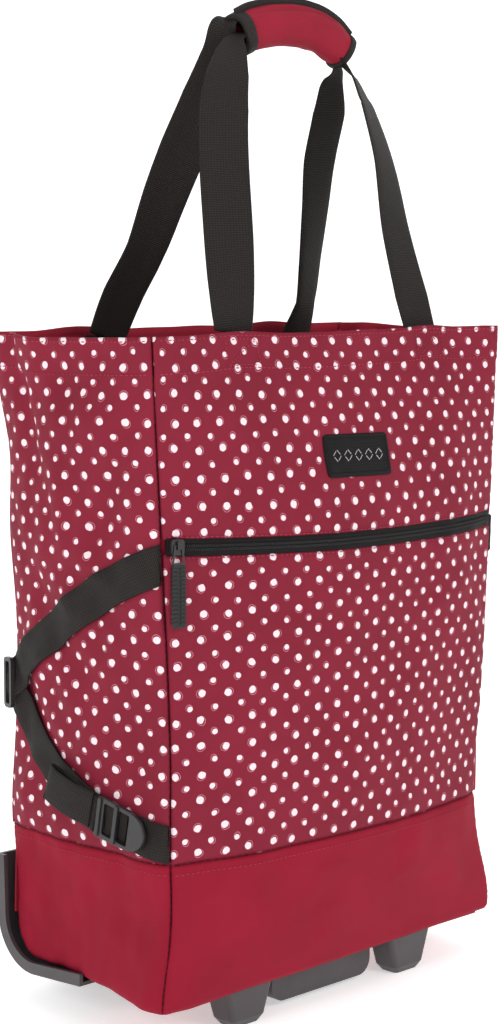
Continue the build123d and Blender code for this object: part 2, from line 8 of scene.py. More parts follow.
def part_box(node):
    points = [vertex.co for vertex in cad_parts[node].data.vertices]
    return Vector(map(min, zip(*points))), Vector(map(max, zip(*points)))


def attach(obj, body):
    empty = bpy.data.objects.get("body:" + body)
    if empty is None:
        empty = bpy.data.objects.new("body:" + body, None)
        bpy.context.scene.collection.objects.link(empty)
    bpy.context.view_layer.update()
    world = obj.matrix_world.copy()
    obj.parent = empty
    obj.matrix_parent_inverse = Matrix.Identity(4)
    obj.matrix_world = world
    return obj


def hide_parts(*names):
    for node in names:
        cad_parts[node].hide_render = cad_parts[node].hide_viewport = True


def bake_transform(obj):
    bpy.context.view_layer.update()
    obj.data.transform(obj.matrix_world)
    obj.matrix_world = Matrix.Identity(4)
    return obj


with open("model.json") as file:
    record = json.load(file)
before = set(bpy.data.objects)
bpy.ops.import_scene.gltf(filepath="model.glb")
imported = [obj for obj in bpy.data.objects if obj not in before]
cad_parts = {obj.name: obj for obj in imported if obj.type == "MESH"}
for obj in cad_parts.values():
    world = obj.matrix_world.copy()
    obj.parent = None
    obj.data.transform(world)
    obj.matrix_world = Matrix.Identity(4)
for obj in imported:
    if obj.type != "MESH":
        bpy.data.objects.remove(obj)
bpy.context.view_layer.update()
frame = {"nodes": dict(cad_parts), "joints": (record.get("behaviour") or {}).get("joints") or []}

# ---- driving dimensions (metres); places are read from the frame ----
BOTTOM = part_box("base_front_panel")[0][2]
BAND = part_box("base_front_panel")[1][2]
ZIP = sum(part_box("pocket_zip_tape")[k][2] for k in (0, 1)) / 2
ZIP_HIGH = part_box("pocket_zip_tape")[1][2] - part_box("pocket_zip_tape")[0][2]
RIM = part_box("left_side_panel")[1][2]
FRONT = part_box("left_side_panel")[0][1] - 0.002
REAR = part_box("left_side_panel")[1][1] + 0.002
HEM = 0.030
CLOTH = 0.0014
CORNER_R = 0.036
# height, half width, bulge of the front, bulge of a side
LEVELS = np.array([
    (BOTTOM, 0.1900, 0.003, 0.002),
    (0.090, 0.1865, 0.017, 0.007),
    (BAND, 0.1865, 0.025, 0.011),
    (0.270, 0.1905, 0.028, 0.014),
    (ZIP, 0.1975, 0.028, 0.016),
    (0.480, 0.2025, 0.014, 0.015),
    (RIM, 0.2065, -0.006, 0.011),
])
TOP_HALF = LEVELS[-1, 1]
WEB = 0.040
STRAP = 0.030
WEB_THICK = 0.0018
LEG_X, FRONT_LEG_Y, WRAP_Y = 0.112, -0.089, -0.008
ZIP_DROOP = 0.0048
BUCKLE_Y = -0.0570
SIDES = ((-1, "left"), (1, "right"))


# ---- the bag's shape ----

def level(z):
    """Half width, front bulge and side bulge at a height, on a smooth curve through LEVELS."""
    z = min(max(z, LEVELS[0, 0]), LEVELS[-1, 0])
    k = int(np.searchsorted(LEVELS[:, 0], z, side="right")) - 1
    k = min(max(k, 0), len(LEVELS) - 2)
    low, high = LEVELS[k], LEVELS[k + 1]
    before, after = LEVELS[max(k - 1, 0)], LEVELS[min(k + 2, len(LEVELS) - 1)]
    span = high[0] - low[0]
    t = (z - low[0]) / span
    slope0 = (high[1:] - before[1:]) / (high[0] - before[0]) * span
    slope1 = (after[1:] - low[1:]) / (after[0] - low[0]) * span
    return ((2 * t ** 3 - 3 * t ** 2 + 1) * low[1:] + (t ** 3 - 2 * t ** 2 + t) * slope0
            + (3 * t ** 2 - 2 * t ** 3) * high[1:] + (t ** 3 - t ** 2) * slope1)


def bell(x, width):
    return math.exp(-(x / width) ** 2)


def ease(x, low, high):
    t = min(max((x - low) / (high - low), 0.0), 1.0)
    return t * t * (3 - 2 * t)


def ripple(x, y, size, seed):
    return noise.noise(Vector((x / size, y / size, seed)))


def waist(z):
    """How far the rear corners are drawn in by the side straps."""
    drawn = 0.0055 * bell(z - 0.460, 0.05) + 0.0045 * bell(z - 0.330, 0.09)
    return drawn - 0.003 * bell(z - 0.160, 0.05)


def rear_edge(z):
    """Where the rear seam is: drawn in at the waist, rounded at the very bottom."""
    y = REAR - waist(z)
    drop = BOTTOM + CORNER_R - z
    if drop > 0:
        y = REAR - CORNER_R + math.sqrt(max(CORNER_R ** 2 - drop ** 2, 0.0))
    return y


def rear_half(z):
    return level(z)[0] - waist(z)


def rim_height(x, y):
    """The upper edge rises to the right and the rear and is pulled up at the handle legs."""
    wave = 0.0016 * ripple(x, y, 0.05, 3.1)
    pull = 0.0025 * bell(abs(x) - LEG_X, 0.03)
    return RIM + 0.004 + 0.031 * x + pull + wave + 0.0055 * ease(y, 0.0, 0.09)


def seam_dip(gap):
    """How far cloth dips into a seam that is gap away."""
    return 0.0022 * math.exp(-abs(gap) / 0.0022)


def tuck_under(z):
    """The lower edge is rounded in towards the bottom seam."""
    radius = 0.007
    drop = min(max(BOTTOM + radius - z, 0.0), radius)
    return radius - math.sqrt(radius ** 2 - drop ** 2)


def flare(z, side):
    """The base sags outwards at its front corners and the right one is drawn in above it."""
    if side > 0:
        out = 0.0125 * bell(z - 0.056, 0.040) - 0.008 * bell(z - 0.165, 0.060)
    else:
        out = 0.0085 * bell(z - 0.045, 0.045) + 0.003 * bell(z - 0.150, 0.06)
    return out - tuck_under(z)


def sag(z, share):
    """How far the base hangs down, most at its left front corner (share -1)."""
    return 0.006 * ease(BAND - z, 0.0, 0.110) * (0.6 - 0.4 * share)


def front_lift(x, z):
    """Folds and puckers of the front, along its outward normal; mostly outwards."""
    half = level(z)[0]
    gap = half - abs(x)
    calm = ease(gap, 0.0, 0.03)
    folds = 0.0048 * ripple(x, z, 0.085, 1.0) + 0.0020 * ripple(x, z * 1.6, 0.030, 2.0)
    folds += 0.0020 * ripple(x * 0.35, z, 0.020, 4.0) * bell(z - 0.300, 0.16) * 0.5
    folds = folds if folds > 0 else 0.3 * folds
    pucker = 0.0007 * ripple(x, z * 3.0, 0.012, 5.0) * bell(gap, 0.018)
    return folds * calm + pucker - seam_dip(gap)


def front_point(x, z, lift=0.0):
    half, bulge, _ = level(z)
    share = x / half
    y = FRONT - bulge * (1 - share ** 2) + tuck_under(z)
    normal = Vector((2 * bulge * share / half, -1, 0)).normalized()
    wide = share * flare(z, share) - math.copysign(seam_dip(half - abs(x)), x)
    droop = sag(z, share) + ZIP_DROOP * bell(z - ZIP, 0.06) * (1 - share ** 2)
    return Vector((x + wide, y, z - droop)) + normal * (lift + front_lift(x, z))


def side_lift(y, z):
    """Folds of a side: deeper than the front's, with creases along the strap."""
    edge = rear_edge(z)
    gap = min(y - FRONT, edge - y)
    calm = ease(gap, 0.0, 0.035)
    folds = 0.0075 * ripple(y, z, 0.070, 7.0) + 0.0030 * ripple(y * 1.5, z, 0.028, 8.0)
    folds -= 0.0060 * bell((y - 0.045) * 0.94 - (z - 0.480) * 0.34, 0.012) * ease(z, 0.36, 0.46)
    folds -= 0.0045 * bell((y + 0.055) * 0.90 + (z - 0.440) * 0.43, 0.010) * bell(z - 0.440, 0.06)
    along, over = y * 0.83 + z * 0.55, z * 0.83 - y * 0.55
    near = bell(z - (0.330 - 0.5 * y), 0.075)
    folds += 0.0042 * ripple(along * 0.35, over, 0.020, 9.0) * near
    pucker = 0.0009 * ripple(y, z * 3.0, 0.012, 11.0) * bell(gap, 0.018)
    return folds * calm + pucker - seam_dip(y - FRONT) - seam_dip(edge - y)


def side_point(y, z, side=1, lift=0.0):
    """Point on the right (1) or left (-1) side of the bag."""
    half, _, bulge = level(z)
    edge = rear_edge(z)
    t = min(max((y - FRONT) / (edge - FRONT), 0.0), 1.0)
    fade = 1 - ease(t, 0.05, 0.48)
    x = half + flare(z, side) * fade + bulge * 4 * t * (1 - t) - (half - rear_half(z)) * t * t
    slope = 4 * bulge * (1 - 2 * t) / (edge - FRONT)
    normal = Vector((1, -slope, 0)).normalized()
    tuck = tuck_under(z) * (1 - ease(t, 0.0, 0.2))
    x -= tuck_under(z) * (1 - fade)
    out = lift + side_lift(y, z)
    deep = y + tuck + seam_dip(y - FRONT) - seam_dip(edge - y)
    p = Vector((x, deep, z - sag(z, side) * fade)) + normal * out
    return Vector((side * p.x, p.y, p.z))


def rear_point(x, z, lift=0.0):
    half = rear_half(z)
    gap = half - abs(x)
    folds = 0.0006 * ripple(x, z, 0.090, 13.0) + 0.0003 * ripple(x, z, 0.030, 14.0)
    y = REAR + 0.0015 * (1 - (x / half) ** 2) - waist(z) * ease(abs(x) / half, 0.80, 1.0)
    return Vector((x, y + lift + folds * ease(gap, 0, 0.03) - seam_dip(gap), z))


# ---- materials ----

def srgb(r, g, b):
    def linear(c):
        c /= 255
        return c / 12.92 if c <= 0.04045 else ((c + 0.055) / 1.055) ** 2.4
    return (linear(r), linear(g), linear(b), 1.0)


class Nodes:
    """A small helper that builds a material's node tree."""

    def __init__(self, name, roughness, metallic=0.0, specular=0.5):
        self.material = bpy.data.materials.new(name)
        self.material.use_nodes = True
        self.tree = self.material.node_tree
        self.shader = self.tree.nodes["Principled BSDF"]
        self.shader.inputs["Roughness"].default_value = roughness
        self.shader.inputs["Metallic"].default_value = metallic
        self.shader.inputs["Specular IOR Level"].default_value = specular

    def put(self, socket, value):
        if isinstance(value, bpy.types.NodeSocket):
            self.tree.links.new(value, socket)
        else:
            socket.default_value = value

    def node(self, kind, out=0, inputs=(), **settings):
        n = self.tree.nodes.new(kind)
        for key, value in settings.items():
            setattr(n, key, value)
        for key, value in dict(inputs).items():
            self.put(n.inputs[key], value)
        return n.outputs[out]

    def math(self, operation, a, b=0.0):
        return self.node("ShaderNodeMath", inputs={0: a, 1: b}, operation=operation)

    def vector(self, operation, a, b=(0, 0, 0), out=0):
        return self.node("ShaderNodeVectorMath", out, {0: a, 1: b}, operation=operation)

    def step(self, value, low, high):
        return self.node("ShaderNodeMapRange", inputs={0: value, 1: low, 2: high, 3: 0.0, 4: 1.0},
                         interpolation_type="SMOOTHSTEP")

    def mix(self, factor, a, b):
        return self.node("ShaderNodeMix", 2, {0: factor, 6: a, 7: b}, data_type="RGBA")

    def coordinates(self, uv):
        return self.node("ShaderNodeTexCoord", "UV" if uv else "Object")

    def noise(self, where, scale, detail=3.0):
        return self.node("ShaderNodeTexNoise", 0, {"Vector": where, "Scale": scale, "Detail": detail})

    def bump(self, height, distance, strength=1.0):
        inputs = {"Height": height, "Distance": distance, "Strength": strength}
        self.put(self.shader.inputs["Normal"], self.node("ShaderNodeBump", inputs=inputs))

    def color(self, value):
        self.put(self.shader.inputs["Base Color"], value)
        return self.material


def weave(n, where, thread):
    """Height of a plain weave whose threads are that far apart."""
    scaled = n.vector("SCALE", where)
    scaled.node.inputs["Scale"].default_value = math.pi / thread
    parts = n.node("ShaderNodeSeparateXYZ", inputs={0: scaled}).node.outputs
    a, b, c = [n.math("ABSOLUTE", n.math("SINE", part)) for part in parts]
    return n.math("ADD", n.math("MULTIPLY", a, b), n.math("MULTIPLY", c, 0.5))


def mottled(n, where, tone, amount=0.10, scale=22.0):
    """The tone, a little lighter and darker in soft patches."""
    patches = n.noise(where, scale, 4.0)
    dark = tuple(c * (1 - amount) for c in tone[:3]) + (1,)
    light = tuple(min(c * (1 + amount), 1) for c in tone[:3]) + (1,)
    return n.mix(n.step(patches, 0.3, 0.7), dark, light)


PITCH = (0.0218, 0.0208)


def dot_grid(n, where, shift, radius, seed):
    """Masks (dot, ring) of one grid of hand-printed dots, in units of the grid's pitch."""
    moved = n.vector("ADD", where, (shift + 37.0, shift + 53.0, 0))
    cell = n.vector("FLOOR", moved)
    local = n.vector("SUBTRACT", n.vector("SUBTRACT", moved, cell), (0.5, 0.5, 0))
    seeded = n.vector("ADD", cell, (0, 0, seed))
    chance = n.node("ShaderNodeTexWhiteNoise", "Color", {"Vector": seeded}, noise_dimensions="3D")
    centred = n.vector("SUBTRACT", chance, (0.5, 0.5, 0.5))
    jitter = n.vector("MULTIPLY", centred, (0.13, 0.13, 0))
    place = n.vector("SUBTRACT", local, jitter)
    wobble = n.noise(n.vector("ADD", place, seeded), 7.0, 1.0)
    size = n.math("MULTIPLY", n.math("ADD", 0.80, n.math("MULTIPLY", wobble, 0.40)), radius)
    far = n.vector("LENGTH", place, out="Value")
    dot = n.math("SUBTRACT", 1.0, n.step(n.math("SUBTRACT", far, size), -0.007, 0.008))
    parts = n.node("ShaderNodeSeparateXYZ", inputs={0: chance}).node.outputs
    turn = n.math("MULTIPLY", parts[2], 2 * math.pi)
    way = n.node("ShaderNodeCombineXYZ", inputs={0: n.math("MULTIPLY", n.math("COSINE", turn), 0.052),
                                                 1: n.math("MULTIPLY", n.math("SINE", turn), 0.048), 2: 0.0})
    from_ring = n.vector("LENGTH", n.vector("SUBTRACT", place, way), out="Value")
    band = n.math("ABSOLUTE", n.math("SUBTRACT", from_ring, n.math("ADD", size, 0.020)))
    ring = n.math("SUBTRACT", 1.0, n.step(band, 0.005, 0.014))
    return dot, ring


def printed_fabric():
    n = Nodes("printed_fabric", 0.62, specular=0.10)
    uv = n.coordinates(True)
    where = n.vector("MULTIPLY", uv, (1 / PITCH[0], 1 / PITCH[1], 0))
    big, big_ring = dot_grid(n, where, 0.0, 0.138, 1.0)
    small, small_ring = dot_grid(n, where, 0.5, 0.104, 9.0)
    dots = n.math("MAXIMUM", big, small)
    rings = n.math("MULTIPLY", n.math("MAXIMUM", big_ring, small_ring), 0.75)
    ground = mottled(n, uv, RED_PRINT, 0.07, 14.0)
    ringed = n.mix(rings, ground, srgb(232, 150, 168))
    ink = n.mix(n.noise(uv, 900.0, 2.0), srgb(228, 210, 214), srgb(250, 232, 238))
    threads = weave(n, uv, 0.0006)
    n.bump(n.math("ADD", threads, n.math("MULTIPLY", n.noise(uv, 120.0), 0.8)), 0.00012, 0.8)
    return n.color(n.mix(dots, ringed, ink))


def plain_fabric(name, tone, thread=0.0006, uv=True):
    n = Nodes(name, 0.66, specular=0.10)
    where = n.coordinates(uv)
    threads = weave(n, where, thread)
    n.bump(n.math("ADD", threads, n.math("MULTIPLY", n.noise(where, 160.0), 0.7)), 0.00016, 0.9)
    return n.color(mottled(n, where, tone, 0.07, 18.0))


def webbing(name, tone, uv=True, rib=0.0015):
    """Ribs run across the tape; along it are fine columns of thread."""
    n = Nodes(name, 0.58, specular=0.15)
    where = n.coordinates(uv)
    parts = n.node("ShaderNodeSeparateXYZ", inputs={0: where}).node.outputs
    along, over = (parts[1], parts[0]) if uv else (parts[2], parts[0])
    ribs = n.math("SINE", n.math("MULTIPLY", along, 2 * math.pi / rib))
    columns = n.math("SINE", n.math("MULTIPLY", over, 2 * math.pi / 0.0024))
    height = n.math("ADD", ribs, n.math("MULTIPLY", columns, 0.45))
    n.bump(n.math("ADD", height, n.math("MULTIPLY", n.noise(where, 600.0), 0.6)), 0.00022, 0.9)
    # painted shade and highlight: the colour is darker in the grooves between ribs and lighter on their
    # crests, following the bump height
    shade = n.step(height, -1.3, 1.3)
    dark = tuple(c * 0.45 for c in tone[:3]) + (1,)
    light = tuple(c * 1.55 for c in tone[:3]) + (1,)
    return n.color(n.mix(shade, dark, light))


def moulded(name, tone, roughness=0.45, grain=900.0, depth=0.00006):
    n = Nodes(name, roughness, specular=0.45)
    where = n.coordinates(False)
    n.bump(n.noise(where, grain, 2.0), depth, 0.7)
    rough = n.step(n.noise(where, 60.0), 0.2, 0.8)
    n.put(n.shader.inputs["Roughness"], n.math("ADD", roughness - 0.06, n.math("MULTIPLY", rough, 0.14)))
    return n.color(mottled(n, where, tone, 0.08, 35.0))


def metal(name, tone, roughness=0.32):
    n = Nodes(name, roughness, metallic=1.0)
    where = n.vector("MULTIPLY", n.coordinates(False), (900.0, 900.0, 12.0))
    streaks = n.noise(where, 1.0, 2.0)
    n.bump(streaks, 0.00002, 0.5)
    return n.color(n.mix(streaks, tuple(c * 0.85 for c in tone[:3]) + (1,), tone))


def enamel(name, tone):
    n = Nodes(name, 0.28, specular=0.6)
    n.bump(n.noise(n.coordinates(False), 400.0), 0.00003, 0.4)
    return n.color(mottled(n, n.coordinates(False), tone, 0.1, 80.0))


RED_PRINT = srgb(129, 34, 52)
PRINTED = printed_fabric()
BAND_CLOTH = plain_fabric("band_fabric", srgb(146, 24, 46))
LINING = plain_fabric("lining_fabric", srgb(150, 34, 52), 0.0007)
WRAP_CLOTH = plain_fabric("wrap_fabric", srgb(150, 34, 52), 0.0006, uv=False)
TAPE = webbing("black_webbing", srgb(38, 34, 32))
TAPE_FLAT = webbing("black_webbing_ends", srgb(40, 36, 34), uv=False)
BINDING = webbing("black_binding", srgb(44, 40, 38), rib=0.0011)
ZIP_TAPE = webbing("zip_tape", srgb(26, 23, 23), rib=0.0012)
THREAD_RED = plain_fabric("red_thread", srgb(178, 66, 86), 0.0003, uv=False)
# painted shadow: dark beads laid in the corner grooves and along the band seam
SEAM_SHADOW = plain_fabric("seam_shadow", srgb(66, 18, 30), 0.0004, uv=False)
THREAD_BLACK = plain_fabric("black_thread", srgb(30, 28, 28), 0.0003, uv=False)
GREY_PLASTIC = moulded("grey_plastic", srgb(68, 64, 66), 0.42)
BLACK_PLASTIC = moulded("black_plastic", srgb(40, 38, 39), 0.34)
BOARD_PLASTIC = moulded("board_plastic", srgb(40, 38, 40), 0.55)
HUB_PLASTIC = moulded("hub_plastic", srgb(92, 88, 90), 0.40)
HANDLE_PLASTIC = moulded("handle_plastic", srgb(36, 35, 36), 0.40)
TYRE_RUBBER = moulded("tyre_rubber", srgb(34, 33, 34), 0.70, 500.0, 0.0001)
PULL_RUBBER = moulded("pull_rubber", srgb(20, 19, 19), 0.42, 700.0)
LABEL_PATCH = webbing("label_patch", srgb(26, 24, 25), rib=0.0007)
LABEL_THREAD = plain_fabric("label_thread", srgb(212, 208, 208), 0.0004, uv=False)
BLACK_ENAMEL = enamel("black_enamel", srgb(34, 33, 34))
STEEL = metal("zinc_steel", srgb(170, 170, 172))
ALLOY = metal("satin_alloy", srgb(190, 191, 194), 0.30)


# ---- mesh helpers ----

def piece(name, verts, faces, materials, body="bag", uvs=None, picks=None):
    """A mesh object from plain lists; uvs is one (u, v) per vertex, picks one material per face."""
    mesh = bpy.data.meshes.new(name)
    mesh.from_pydata([tuple(v) for v in verts], [], faces)
    for m in materials:
        mesh.materials.append(m)
    if uvs is not None:
        layer = mesh.uv_layers.new(name="UVMap")
        index = np.zeros(len(mesh.loops), dtype=np.int32)
        mesh.loops.foreach_get("vertex_index", index)
        layer.data.foreach_set("uv", np.array(uvs, dtype=np.float32)[index].ravel())
    if picks is not None:
        mesh.polygons.foreach_set("material_index", picks)
    mesh.polygons.foreach_set("use_smooth", [True] * len(mesh.polygons))
    mesh.validate()
    mesh.update()
    obj = bpy.data.objects.new(name, mesh)
    bpy.context.scene.collection.objects.link(obj)
    if body:
        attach(obj, body)
    return obj


def sheet_piece(name, grid, coords, thickness, outer, inner, flip=False):
    """Closed sheet of cloth: grid[i][j] are points of its outer face, coords their (u, v)."""
    points = np.array([[tuple(p) for p in row] for row in grid])
    flat_uv = np.array(coords, dtype=float).reshape(-1, 2)
    rows, cols = points.shape[:2]
    du = np.gradient(points, axis=1)
    dv = np.gradient(points, axis=0)
    normals = np.cross(du, dv)
    normals /= np.linalg.norm(normals, axis=2, keepdims=True) + 1e-12
    if flip:
        normals = -normals
    back = points - normals * thickness
    verts = np.concatenate([points.reshape(-1, 3), back.reshape(-1, 3)])
    uvs = np.concatenate([flat_uv, flat_uv])
    shift = rows * cols
    faces, picks = [], []
    for i in range(rows - 1):
        for j in range(cols - 1):
            a, b = i * cols + j, i * cols + j + 1
            c, d = b + cols, a + cols
            front = (a, b, c, d)
            faces.append(front[::-1] if flip else front)
            picks.append(0)
            rear = tuple(k + shift for k in front)
            faces.append(rear if flip else rear[::-1])
            picks.append(1)
    loop = ([j for j in range(cols)] + [i * cols + cols - 1 for i in range(1, rows)]
            + [(rows - 1) * cols + j for j in range(cols - 2, -1, -1)]
            + [i * cols for i in range(rows - 2, 0, -1)])
    for k, a in enumerate(loop):
        b = loop[(k + 1) % len(loop)]
        edge = (b, a, a + shift, b + shift)
        faces.append(edge[::-1] if flip else edge)
        picks.append(0)
    return piece(name, verts, faces, [outer, inner], "bag", uvs, picks)


def span(a, b, step):
    count = max(int(round(abs(b - a) / step)), 1)
    return [a + (b - a) * k / count for k in range(count + 1)]


# section of a tape, in shares of its width and thickness
TAPE_PROFILE = [(-0.5, 0.0), (-0.47, 0.45), (-0.25, 0.5), (0.0, 0.5), (0.25, 0.5), (0.47, 0.45),
                (0.5, 0.0), (0.47, -0.45), (0.25, -0.5), (0.0, -0.5), (-0.25, -0.5), (-0.47, -0.45)]


def skin(rings, count, base=0):
    """Faces of a tube of rings of points with flat ends; base is its first point."""
    faces = []
    for k in range(rings - 1):
        for j in range(count):
            a, b = base + k * count + j, base + k * count + (j + 1) % count
            faces.append((a, b, b + count, a + count))
    faces.append(tuple(base + j for j in range(count))[::-1])
    last = base + (rings - 1) * count
    faces.append(tuple(last + j for j in range(count)))
    return faces


def facing(points, x, y):
    """A run of thread whose beads stand out towards (x, y)."""
    return points, [Vector((x, y, 0)).normalized()] * len(points)


def ribbon(name, centres, widths, flats, thickness, material, body="bag"):
    """Flat tape along centres; flats are unit vectors across it, widths its width at each."""
    verts, uvs = [], []
    run = 0.0
    for k, centre in enumerate(centres):
        ahead = centres[min(k + 1, len(centres) - 1)] - centres[max(k - 1, 0)]
        flat = flats[k] - ahead * (flats[k].dot(ahead) / ahead.length_squared)
        flat.normalize()
        normal = flat.cross(ahead).normalized()
        if k:
            run += (centre - centres[k - 1]).length
        for a, b in TAPE_PROFILE:
            verts.append(centre + flat * (a * widths[k]) + normal * (b * thickness))
            uvs.append((a * widths[k], run))
    return piece(name, verts, skin(len(centres), len(TAPE_PROFILE)), [material], body, uvs)


def smooth_path(points, per=10):
    """Points on a Catmull-Rom curve through the given ones."""
    pts = [Vector(p) for p in points]
    ends = [pts[0] * 2 - pts[1]] + pts + [pts[-1] * 2 - pts[-2]]
    out = []
    for k in range(1, len(ends) - 2):
        a, b, c, d = ends[k - 1:k + 3]
        for s in range(per):
            t = s / per
            out.append(0.5 * (2 * b + (c - a) * t + (2 * a - 5 * b + 4 * c - d) * t * t
                              + (3 * b - a - 3 * c + d) * t ** 3))
    return out + [pts[-1]]


def blend_values(values, per=10):
    out = []
    for a, b in zip(values, values[1:]):
        out += [a + (b - a) * (s / per) for s in range(per)]
    return out + [values[-1]]


def stitches(name, runs, material, length=0.0032, gap=0.0014, thick=0.0007):
    """Rows of thread: runs is a list of (points, normals); each stitch is a small raised bead."""
    verts, faces = [], []
    for points, normals in runs:
        ends = [0.0]
        for a, b in zip(points, points[1:]):
            ends.append(ends[-1] + (b - a).length)

        def at(s):
            k = min(max(int(np.searchsorted(ends, s)) - 1, 0), len(points) - 2)
            t = (s - ends[k]) / max(ends[k + 1] - ends[k], 1e-9)
            return points[k].lerp(points[k + 1], t), normals[k].lerp(normals[k + 1], t).normalized()
        s = gap
        while s + length < ends[-1]:
            (p, n), (q, m) = at(s), at(s + length)
            way = (q - p).normalized()
            over = way.cross(n).normalized()
            base = len(verts)
            for share, size in ((0.0, 0.35), (0.25, 1.0), (0.75, 1.0), (1.0, 0.35)):
                c = p.lerp(q, share) + n.lerp(m, share) * (thick * 0.2)
                for a, b in ((-1, 0), (0, 1), (1, 0), (0, -1)):
                    verts.append(c + over * (a * thick * 0.6 * size) + n * (b * thick * 0.6 * size))
            faces += skin(4, 4, base)
            s += length + gap
    piece(name, verts, faces, [material])


def arc(centre, radii, start, stop, count=14):
    """Points on part of an ellipse, angles in degrees."""
    angles = [math.radians(start + (stop - start) * k / count) for k in range(count + 1)]
    return [(centre[0] + radii[0] * math.cos(a), centre[1] + radii[1] * math.sin(a)) for a in angles]


def rounded(x0, x1, y0, y1, r):
    """Outline of a rectangle with round corners."""
    return (arc((x1 - r, y0 + r), (r, r), -90, 0, 5) + arc((x1 - r, y1 - r), (r, r), 0, 90, 5)
            + arc((x0 + r, y1 - r), (r, r), 90, 180, 5) + arc((x0 + r, y0 + r), (r, r), 180, 270, 5))


def plate(name, outlines, thickness, matrix, material, body="bag", bevel=0.0006):
    """Flat moulding with soft edges: the first outline is its rim, the others are holes."""
    curve = bpy.data.curves.new(name, "CURVE")
    curve.dimensions, curve.fill_mode = "2D", "BOTH"
    curve.extrude, curve.bevel_depth, curve.bevel_resolution = thickness / 2 - bevel, bevel, 2
    curve.offset = -bevel
    for outline in outlines:
        spline = curve.splines.new("POLY")
        spline.points.add(len(outline) - 1)
        for point, (x, y) in zip(spline.points, outline):
            point.co = (x, y, 0, 1)
        spline.use_cyclic_u = True
    holder = bpy.data.objects.new(name + "_curve", curve)
    bpy.context.scene.collection.objects.link(holder)
    mesh = bpy.data.meshes.new_from_object(holder.evaluated_get(bpy.context.evaluated_depsgraph_get()))
    bpy.data.objects.remove(holder)
    mesh.transform(matrix)
    mesh.materials.clear()
    mesh.materials.append(material)
    mesh.name = name
    obj = bpy.data.objects.new(name, mesh)
    bpy.context.scene.collection.objects.link(obj)
    if body:
        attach(obj, body)
    return obj


def axes(origin, x_way, z_way):
    """Matrix whose local X runs along x_way and whose local Z is nearest to z_way."""
    x = x_way.normalized()
    y = z_way.cross(x).normalized()
    m = Matrix((x, y, x.cross(y))).transposed().to_4x4()
    m.translation = origin
    return m


def paint(names, material):
    """Gives CAD pieces one material."""
    for node in names:
        obj = frame["nodes"][node]
        obj.data.materials.clear()
        obj.data.materials.append(material)


# ---- fabric panels ----

def hem_lift(z, top):
    """The rim is folded double, so its hem stands a little proud above the stitch line."""
    return 0.0009 * ease(z, top - HEM - 0.0015, top - HEM + 0.0015)


def edge_roll(z, low, high, size=0.0025):
    """Rounds a panel's lower and upper edges into their seams."""
    return -0.0016 * (math.exp(-(z - low) / size) + math.exp(-(high - z) / size))


def panel(name, low, high, outer, nodes, shares, step, rim, spot, hem=False, flip=False, rolled=True):
    """Closed panel of cloth: rim(s) is where its upper edge is, spot(s, z, lift) a point and its (u, v)."""
    grid, coords = [], []
    for v in span(0.0, 1.0, step / (high - low)):
        row = []
        for s in shares:
            top = rim_height(*rim(s)) if hem else high
            z = low + (top - low) * v
            lift = hem_lift(z, top) if hem else 0.0
            roll = edge_roll(z, low, high + (1.0 if hem else 0.0)) if rolled else 0.0
            row.append(spot(s, z, lift + roll))
        grid.append([point for point, _ in row])
        coords.append([uv for _, uv in row])
    made = sheet_piece(name, grid, coords, CLOTH, outer, LINING, flip=flip)
    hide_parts(*nodes)
    return made


def front_panel(name, low, high, outer, nodes, step=0.0032, hem=False):
    def spot(s, z, lift):
        x = s * level(z)[0]
        return front_point(x, z, lift), (x, z)
    return panel(name, low, high, outer, nodes, span(-1.0, 1.0, step / 0.19), step,
                 lambda s: (s * TOP_HALF, FRONT), spot, hem)


def side_panel(name, side, low, high, outer, nodes, step=0.0034, hem=False):
    def spot(t, z, lift):
        y = FRONT + t * (rear_edge(z) - FRONT)
        return side_point(y, z, side, lift), (side * y + 0.31, z)
    return panel(name, low, high, outer, nodes, span(0.0, 1.0, step / 0.198), step,
                 lambda t: (side * TOP_HALF, FRONT + t * (REAR - FRONT)), spot, hem, side < 0)


def rear_sheet(name, low, high, outer, nodes, step=0.006, hem=False):
    def spot(s, z, lift):
        x = s * rear_half(z)
        return rear_point(x, z, lift), (x + 0.47, z)
    return panel(name, low, high, outer, nodes, span(-1.0, 1.0, step / 0.19), step,
                 lambda s: (s * TOP_HALF, REAR), spot, hem, True, False)


def panels():
    zip_low, zip_high = ZIP - ZIP_HIGH / 2 + 0.001, ZIP + ZIP_HIGH / 2 - 0.001
    made = front_panel("front_upper_cloth", zip_high, RIM, PRINTED, ["front_upper_panel"], hem=True)
    made = front_panel("pocket_cloth", BAND, zip_low, PRINTED, ["front_pocket_panel"])
    made = front_panel("base_front_cloth", BOTTOM, BAND, BAND_CLOTH, ["base_front_panel"])
    for side, word in SIDES:
        made = side_panel(word + "_side_cloth", side, BAND, RIM, PRINTED, [word + "_side_panel"], hem=True)
        made = side_panel(word + "_base_cloth", side, BOTTOM, BAND, BAND_CLOTH, [word + "_base_side_panel"])
    made = rear_sheet("rear_cloth", BAND, RIM, PRINTED, ["rear_panel"], hem=True)


# ---- seams and stitching ----

def row_on_front(z, inset, lift):
    half = level(z)[0] - inset
    return facing([front_point(x, z, lift) for x in span(-half, half, 0.004)], 0, -1)


def row_on_side(z, y0, y1, side, lift):
    return facing([side_point(y, z, side, lift) for y in span(y0, y1, 0.004)], side, 0)


